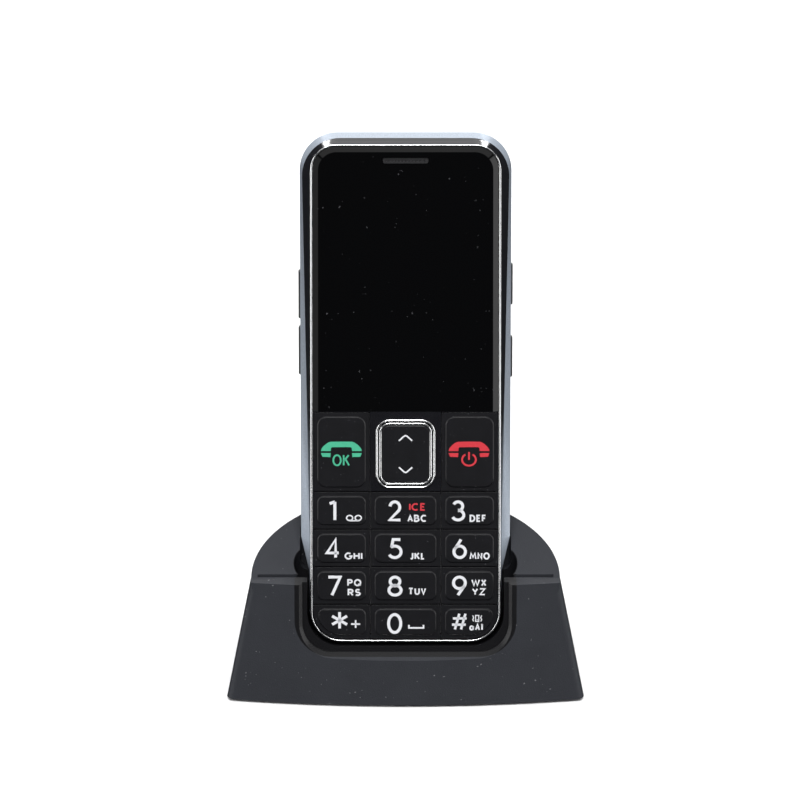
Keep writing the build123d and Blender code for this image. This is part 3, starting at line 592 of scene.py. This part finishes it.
# %% Write down the signs
ROUND = (0.5, 0.5, 0.5, 0.5, 0, 360)
signs = {
    "0": [[ROUND]],
    "1": [[(0, 0.9), (1, 1)], [(1, 1), (1, 0)]],
    "2": [[(0.48, 0.7, 0.46, 0.3, 170, -40), (0, 0), (1, 0)]],
    "3": [[(0.46, 0.755, 0.42, 0.245, 155, -90)], [(0.46, 0.27, 0.52, 0.27, 90, -155)]],
    "4": [[(0.74, 0), (0.74, 1), (0, 0.26), (1, 0.26)]],
    "5": [[(0.92, 1), (0.3, 1), (0.16, 0.56)], [(0.44, 0.32, 0.54, 0.32, 128, -150)]],
    "6": [[(0.5, 0.32, 0.5, 0.32, 0, 360)], [(0.06, 0.46), (0.62, 1)]],
    "7": [[(0, 1), (1, 1), (0.3, 0)]],
    "8": [[(0.5, 0.755, 0.4, 0.245, 0, 360)], [(0.5, 0.27, 0.5, 0.27, 0, 360)]],
    "9": [[(0.5, 0.68, 0.5, 0.32, 0, 360)], [(0.94, 0.54), (0.38, 0)]],
    "*": [[(0.5, 0), (0.5, 1)], [(0, 0.24), (1, 0.76)], [(0, 0.76), (1, 0.24)]],
    "#": [[(0.2, 0), (0.5, 1)], [(0.62, 0), (0.92, 1)],
          [(0.06, 0.7), (1, 0.7)], [(0, 0.3), (0.94, 0.3)]],
    "+": [[(0.5, 0), (0.5, 1)], [(0, 0.5), (1, 0.5)]],
    "A": [[(0, 0), (0.5, 1), (1, 0)], [(0.2, 0.34), (0.8, 0.34)]],
    "B": [[(0, 0.54), (0, 1), (0.45, 0.77, 0.4, 0.23, 90, -90), (0, 0.54)],
          [(0, 0.54), (0.45, 0.27, 0.55, 0.27, 90, -90), (0, 0), (0, 0.54)]],
    "C": [[(0.55, 0.5, 0.55, 0.5, 52, 308)]],
    "D": [[(0, 0), (0, 1), (0.35, 0.5, 0.65, 0.5, 90, -90), (0, 0)]],
    "E": [[(1, 1), (0, 1), (0, 0), (1, 0)], [(0, 0.52), (0.85, 0.52)]],
    "F": [[(1, 1), (0, 1), (0, 0)], [(0, 0.52), (0.85, 0.52)]],
    "G": [[(0.5, 0.5, 0.5, 0.5, 52, 345), (1, 0.46), (0.6, 0.46)]],
    "H": [[(0, 0), (0, 1)], [(1, 0), (1, 1)], [(0, 0.52), (1, 0.52)]],
    "I": [[(0.5, 0), (0.5, 1)]],
    "J": [[(0.95, 1), (0.5, 0.3, 0.45, 0.3, 0, -150)]],
    "K": [[(0, 0), (0, 1)], [(0.92, 1), (0, 0.42)], [(0.32, 0.62), (1, 0)]],
    "L": [[(0, 1), (0, 0), (0.9, 0)]],
    "M": [[(0, 0), (0.14, 1), (0.5, 0.25), (0.86, 1), (1, 0)]],
    "N": [[(0, 0), (0, 1), (1, 0), (1, 1)]],
    "O": [[ROUND]],
    "P": [[(0, 0), (0, 1), (0.5, 0.74, 0.45, 0.26, 90, -90), (0, 0.48)]],
    "Q": [[ROUND], [(0.6, 0.3), (1, 0)]],
    "R": [[(0, 0), (0, 1), (0.5, 0.74, 0.45, 0.26, 90, -90), (0, 0.48)], [(0.45, 0.48), (0.95, 0)]],
    "S": [[(0.5, 0.75, 0.42, 0.25, 35, 270), (0.5, 0.25, 0.46, 0.25, 90, -150)]],
    "T": [[(0, 1), (1, 1)], [(0.5, 1), (0.5, 0)]],
    "U": [[(0, 1), (0.5, 0.35, 0.5, 0.35, 180, 360), (1, 1)]],
    "V": [[(0, 1), (0.5, 0), (1, 1)]],
    "W": [[(0, 1), (0.27, 0), (0.5, 0.9), (0.73, 0), (1, 1)]],
    "X": [[(0, 0), (1, 1)], [(0, 1), (1, 0)]],
    "Y": [[(0, 1), (0.5, 0.45), (1, 1)], [(0.5, 0.45), (0.5, 0)]],
    "Z": [[(0, 1), (1, 1), (0, 0), (1, 0)]],
    "a": [[(0.45, 0.32, 0.45, 0.32, 0, 360)], [(0.95, 0.66), (0.95, 0)]],
    "tape": [[(0.22, 0.5, 0.2, 0.42, 0, 360)], [(0.78, 0.5, 0.2, 0.42, 0, 360)],
             [(0.2, 0.04), (0.8, 0.04)]],
    "space": [[(0, 1), (0, 0), (1, 0), (1, 1)]],
    "buzz": [[(0.32, 0), (0.32, 1), (0.68, 1), (0.68, 0), (0.32, 0)], [(0.44, 0.25), (0.56, 0.25)],
             [(0.1, 0), (0, 0.3), (0.1, 0.6), (0, 1)], [(0.9, 0), (1, 0.3), (0.9, 0.6), (1, 1)]],
    "up": [[(0, 0), (0.38, 0.86), (0.5, 1), (0.62, 0.86), (1, 0)]],
    "down": [[(0, 1), (0.38, 0.14), (0.5, 0), (0.62, 0.14), (1, 1)]],
    "power": [[(0.5, 0.44, 0.5, 0.44, 122, 418)], [(0.5, 0.42), (0.5, 1)]],
}
letter_widths = {"I": 0.14, "J": 0.5, "L": 0.6, "E": 0.6, "F": 0.6, "M": 1.1, "W": 1.3, "O": 1.0,
                 "Q": 1.0, "G": 0.98, "C": 0.9, "1": 0.3, "a": 0.75}
usual_width = 0.78
letter_gap = 0.13
print(len(signs), "signs")

# %% Draw strokes as ribbons
arc_step = 12
sharpest_mitre = 1.7
closing_share = 0.1


def walk(stroke):
    """The points of a stroke, with its arcs worked out."""
    points = []
    for item in stroke:
        if len(item) == 2:
            points.append(Vector(item))
            continue
        x, y, wide, high, start, end = item
        steps = max(2, round(abs(end - start) / arc_step))
        for step in range(steps + 1):
            turn = math.radians(start + (end - start) * step / steps)
            points.append(Vector((x + wide * math.cos(turn), y + high * math.sin(turn))))
    return points


def ribbon(points, width):
    """Two edges of a pen stroke along these points, with mitred corners."""
    closed = (points[0] - points[-1]).length < width * closing_share
    if closed:
        points = points[:-1]
    count = len(points)
    pairs = []
    for place, point in enumerate(points):
        before = points[place - 1] if place or closed else None
        after = points[(place + 1) % count] if place < count - 1 or closed else None
        runs = [run.normalized() for run in ((point - before) if before else None,
                                             (after - point) if after else None) if run]
        sides = [Vector((-run.y, run.x)) for run in runs]
        side = sum(sides, Vector((0, 0))).normalized()
        mitre = 1 / max(1 / sharpest_mitre, side.dot(sides[0]))
        pairs.append((point + side * width / 2 * mitre, point - side * width / 2 * mitre))
    return pairs + pairs[:1] if closed else pairs


def stroke_faces(sign, left, right, low, high, width):
    """The quads of one sign, drawn inside four edges in millimetres."""
    size = Vector((max(right - left - width, 0), high - low - width))
    corner = Vector((left, low)) + Vector((width, width)) / 2
    faces = []
    for stroke in signs[sign]:
        points = [corner + Vector((point.x * size.x, point.y * size.y)) for point in walk(stroke)]
        pairs = ribbon(points, width)
        faces += [(a, b, d, c) for (a, b), (c, d) in zip(pairs, pairs[1:])]
    return faces


def word_faces(word, left, right, low, high, width):
    """The quads of a word, with its letters spread between two edges."""
    shares = [letter_widths.get(letter, usual_width) for letter in word]
    unit = (right - left) / (sum(shares) + letter_gap * (len(word) - 1))
    faces = []
    for letter, share in zip(word, shares):
        stem = max(share * unit, width)
        faces += stroke_faces(letter, left, left + stem, low, high, width)
        left += (share + letter_gap) * unit
    return faces


# %% [markdown]
# ## Ink on the keys
#
# Ink has a thickness, if only some hundredths of a millimetre. Each set of marks is one thin film
# on its key's raised pad, and moves with that key when it is pressed. The places are read off the
# picture in millimetres from the phone's centre line, and up from the lowest line of each row.

# %% Make a film of ink
ink_depth = 0.03
ink_sink = 0.01
ink_merge = ink_depth / 4


def pad_level(node):
    """How far a key's pad stands out from the plane of the face, in millimetres."""
    return (face_front - span_of(node, inward)[0]) / mm


def print_ink_on(node, name, faces, ink):
    """A film of ink in the shape of these faces, on the pad of a key."""
    corners = [Vector((*corner, 0)) for face in faces for corner in face]
    spans = []
    for face in faces:
        start = spans[-1][-1] + 1 if spans else 0
        spans.append(list(range(start, start + len(face))))
    mesh = bpy.data.meshes.new(name)
    mesh.from_pydata(corners, [], spans)
    piece = bpy.data.objects.new(name, mesh)
    bpy.context.scene.collection.objects.link(piece)
    bpy.ops.object.select_all(action="DESELECT")
    bpy.context.view_layer.objects.active = piece
    piece.select_set(True)
    bpy.ops.object.mode_set(mode="EDIT")
    bpy.ops.mesh.select_all(action="SELECT")
    bpy.ops.mesh.remove_doubles(threshold=ink_merge)
    bpy.ops.mesh.normals_make_consistent(inside=False)
    bpy.ops.mesh.extrude_region_move(TRANSFORM_OT_translate={"value": (0, 0, ink_depth)})
    bpy.ops.mesh.select_all(action="SELECT")
    bpy.ops.mesh.normals_make_consistent(inside=False)
    bpy.ops.object.mode_set(mode="OBJECT")
    lift = Matrix.Translation((0, 0, pad_level(node) - ink_sink))
    mesh.transform(face_place @ Matrix.Scale(mm, 4) @ lift)
    mesh.materials.append(ink)
    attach(piece, bodies[node])
    print(name, len(faces), "faces")


# %% List the marks
digit_rise = 2.25
digit_height = 5.8
digit_pen = 0.8
letter_height = 2.0
letter_pen = 0.43

# The row of each key, counted from the lowest.
rows = {"key_star": 0, "key_0": 0, "key_hash": 0, "key_7": 1, "key_8": 1, "key_9": 1,
        "key_4": 2, "key_5": 2, "key_6": 2, "key_1": 3, "key_2": 3, "key_3": 3,
        "key_call": 4, "key_end": 4, "key_nav": 4}

# Numbers with their left and right edge, in millimetres from the centre line.
numbers = {"key_1": ("1", -20.9, -18.7), "key_2": ("2", -4.7, -1.0), "key_3": ("3", 12.4, 16.2),
           "key_4": ("4", -21.7, -17.7), "key_5": ("5", -4.7, -0.75), "key_6": ("6", 12.7, 16.6),
           "key_7": ("7", -21.3, -17.3), "key_8": ("8", -4.9, -0.8), "key_9": ("9", 12.6, 16.6),
           "key_0": ("0", -5.0, -0.9)}

# Letters with their left and right edge, and how high they stand over their row.
letters = {"key_2": [("ABC", 0.5, 5.8, 2.1)], "key_3": [("DEF", 17.3, 21.8, 2.1)],
           "key_4": [("GHI", -16.5, -11.8, 2.1)], "key_5": [("JKL", 1.2, 5.3, 2.1)],
           "key_6": [("MNO", 17.3, 22.8, 2.1)], "key_8": [("TUV", 0.7, 5.6, 2.7)],
           "key_7": [("PQ", -15.8, -12.0, 5.1), ("RS", -15.7, -12.1, 2.4)],
           "key_9": [("WX", 17.8, 21.9, 5.1), ("YZ", 18.0, 21.7, 2.6)],
           "key_hash": [("aA1", 17.3, 21.0, 3.2)]}

# Other signs with edges and rise as above, then their height and the width of the pen.
pictures = {"key_1": [("tape", -16.2, -11.7, 2.2, 2.0, 0.36)],
            "key_0": [("space", 0.7, 5.1, 3.7, 1.3, 0.45)],
            "key_star": [("*", -20.3, -15.5, 3.4, 5.3, 0.75), ("+", -15.0, -12.1, 3.7, 2.6, 0.45)],
            "key_hash": [("#", 12.3, 16.9, 3.2, 5.0, 0.66), ("buzz", 18.1, 20.8, 5.6, 1.95, 0.28)],
            "key_nav": [("up", -2.0, 2.0, 13.8, 1.85, 0.42), ("down", -2.0, 2.0, 5.1, 1.85, 0.42)]}
print(len(numbers), "numbers on", len(rows), "keys")

# %% Print the white marks
def key_low(node):
    """How far a key's lowest line stands from the bottom of the face, in millimetres."""
    return (span_of(node, along)[0] - face_low) / mm


key_pitch = key_low("key_5") - key_low("key_8")
for node, row in rows.items():
    foot = row * key_pitch
    faces = []
    if node in numbers:
        sign, left, right = numbers[node]
        low = foot + digit_rise
        faces += stroke_faces(sign, left, right, low, low + digit_height, digit_pen)
    for word, left, right, rise in letters.get(node, []):
        low = foot + rise
        faces += word_faces(word, left, right, low, low + letter_height, letter_pen)
    for sign, left, right, rise, height, pen in pictures.get(node, []):
        low = foot + rise
        faces += stroke_faces(sign, left, right, low, low + height, pen)
    if faces:
        print_ink_on(node, "marks_" + node, faces, white_ink)

# %% Print the red letters over the 2
emergency_left = 0.95
emergency_right = 5.35
emergency_rise = 5.2
emergency_height = 2.1
low = rows["key_2"] * key_pitch + emergency_rise
high = low + emergency_height
emergency = word_faces("ICE", emergency_left, emergency_right, low, high, letter_pen)
print_ink_on("key_2", "marks_emergency", emergency, red_ink)

# %% [markdown]
# ## Call signs
#
# The two big keys carry a handset, green to answer and red to hang up. It is a solid shape, so its
# outline is filled: a bow with rounded shoulders, a thin gap, and the two ends under it. The word
# and the switch sign sit in its hollow as pen strokes.

# %% Outline a handset
handset_half = 5.5
handset_height = 4.25

# Corners of the left half, in shares of the half width and the height, from the top's middle.
bow_outside = [(-1, -0.61), (-0.99, -0.52), (-0.94, -0.40), (-0.86, -0.28), (-0.76, -0.16),
               (-0.64, -0.06), (-0.52, -0.01), (0, 0)]
bow_inside = [(-0.52, -0.61), (-0.52, -0.55), (-0.515, -0.49), (-0.51, -0.44), (-0.50, -0.40),
              (-0.47, -0.37), (-0.42, -0.36), (0, -0.36)]
handset_end = [(-1, -0.74), (-0.52, -0.74), (-0.54, -1), (-0.93, -0.98)]


def handset_faces(middle, top):
    """The quads of a handset: its bow, cut across into short runs, and its two ends."""
    runs = zip(bow_outside, bow_inside, bow_outside[1:], bow_inside[1:])
    quads = [(a, b, d, c) for a, b, c, d in runs] + [handset_end]
    quads += [[(-x, y) for x, y in reversed(quad)] for quad in quads]
    return [[Vector((middle + x * handset_half, top + y * handset_height)) for x, y in quad]
            for quad in quads]


# %% Print the call signs
call_middle = -17.3
end_middle = 17.1
handset_rise = 13.8
ok_left = -2.4
ok_right = 2.3
ok_low = 7.05
ok_high = 10.3
ok_pen = 0.46
switch_half = 2.1
switch_low = 6.95
switch_high = 11.2
switch_pen = 0.5
foot = rows["key_call"] * key_pitch

green = handset_faces(call_middle, foot + handset_rise)
green += word_faces("OK", call_middle + ok_left, call_middle + ok_right,
                    foot + ok_low, foot + ok_high, ok_pen)
print_ink_on("key_call", "marks_call", green, green_ink)

red = handset_faces(end_middle, foot + handset_rise)
red += stroke_faces("power", end_middle - switch_half, end_middle + switch_half,
                    foot + switch_low, foot + switch_high, switch_pen)
print_ink_on("key_end", "marks_end", red, red_ink)
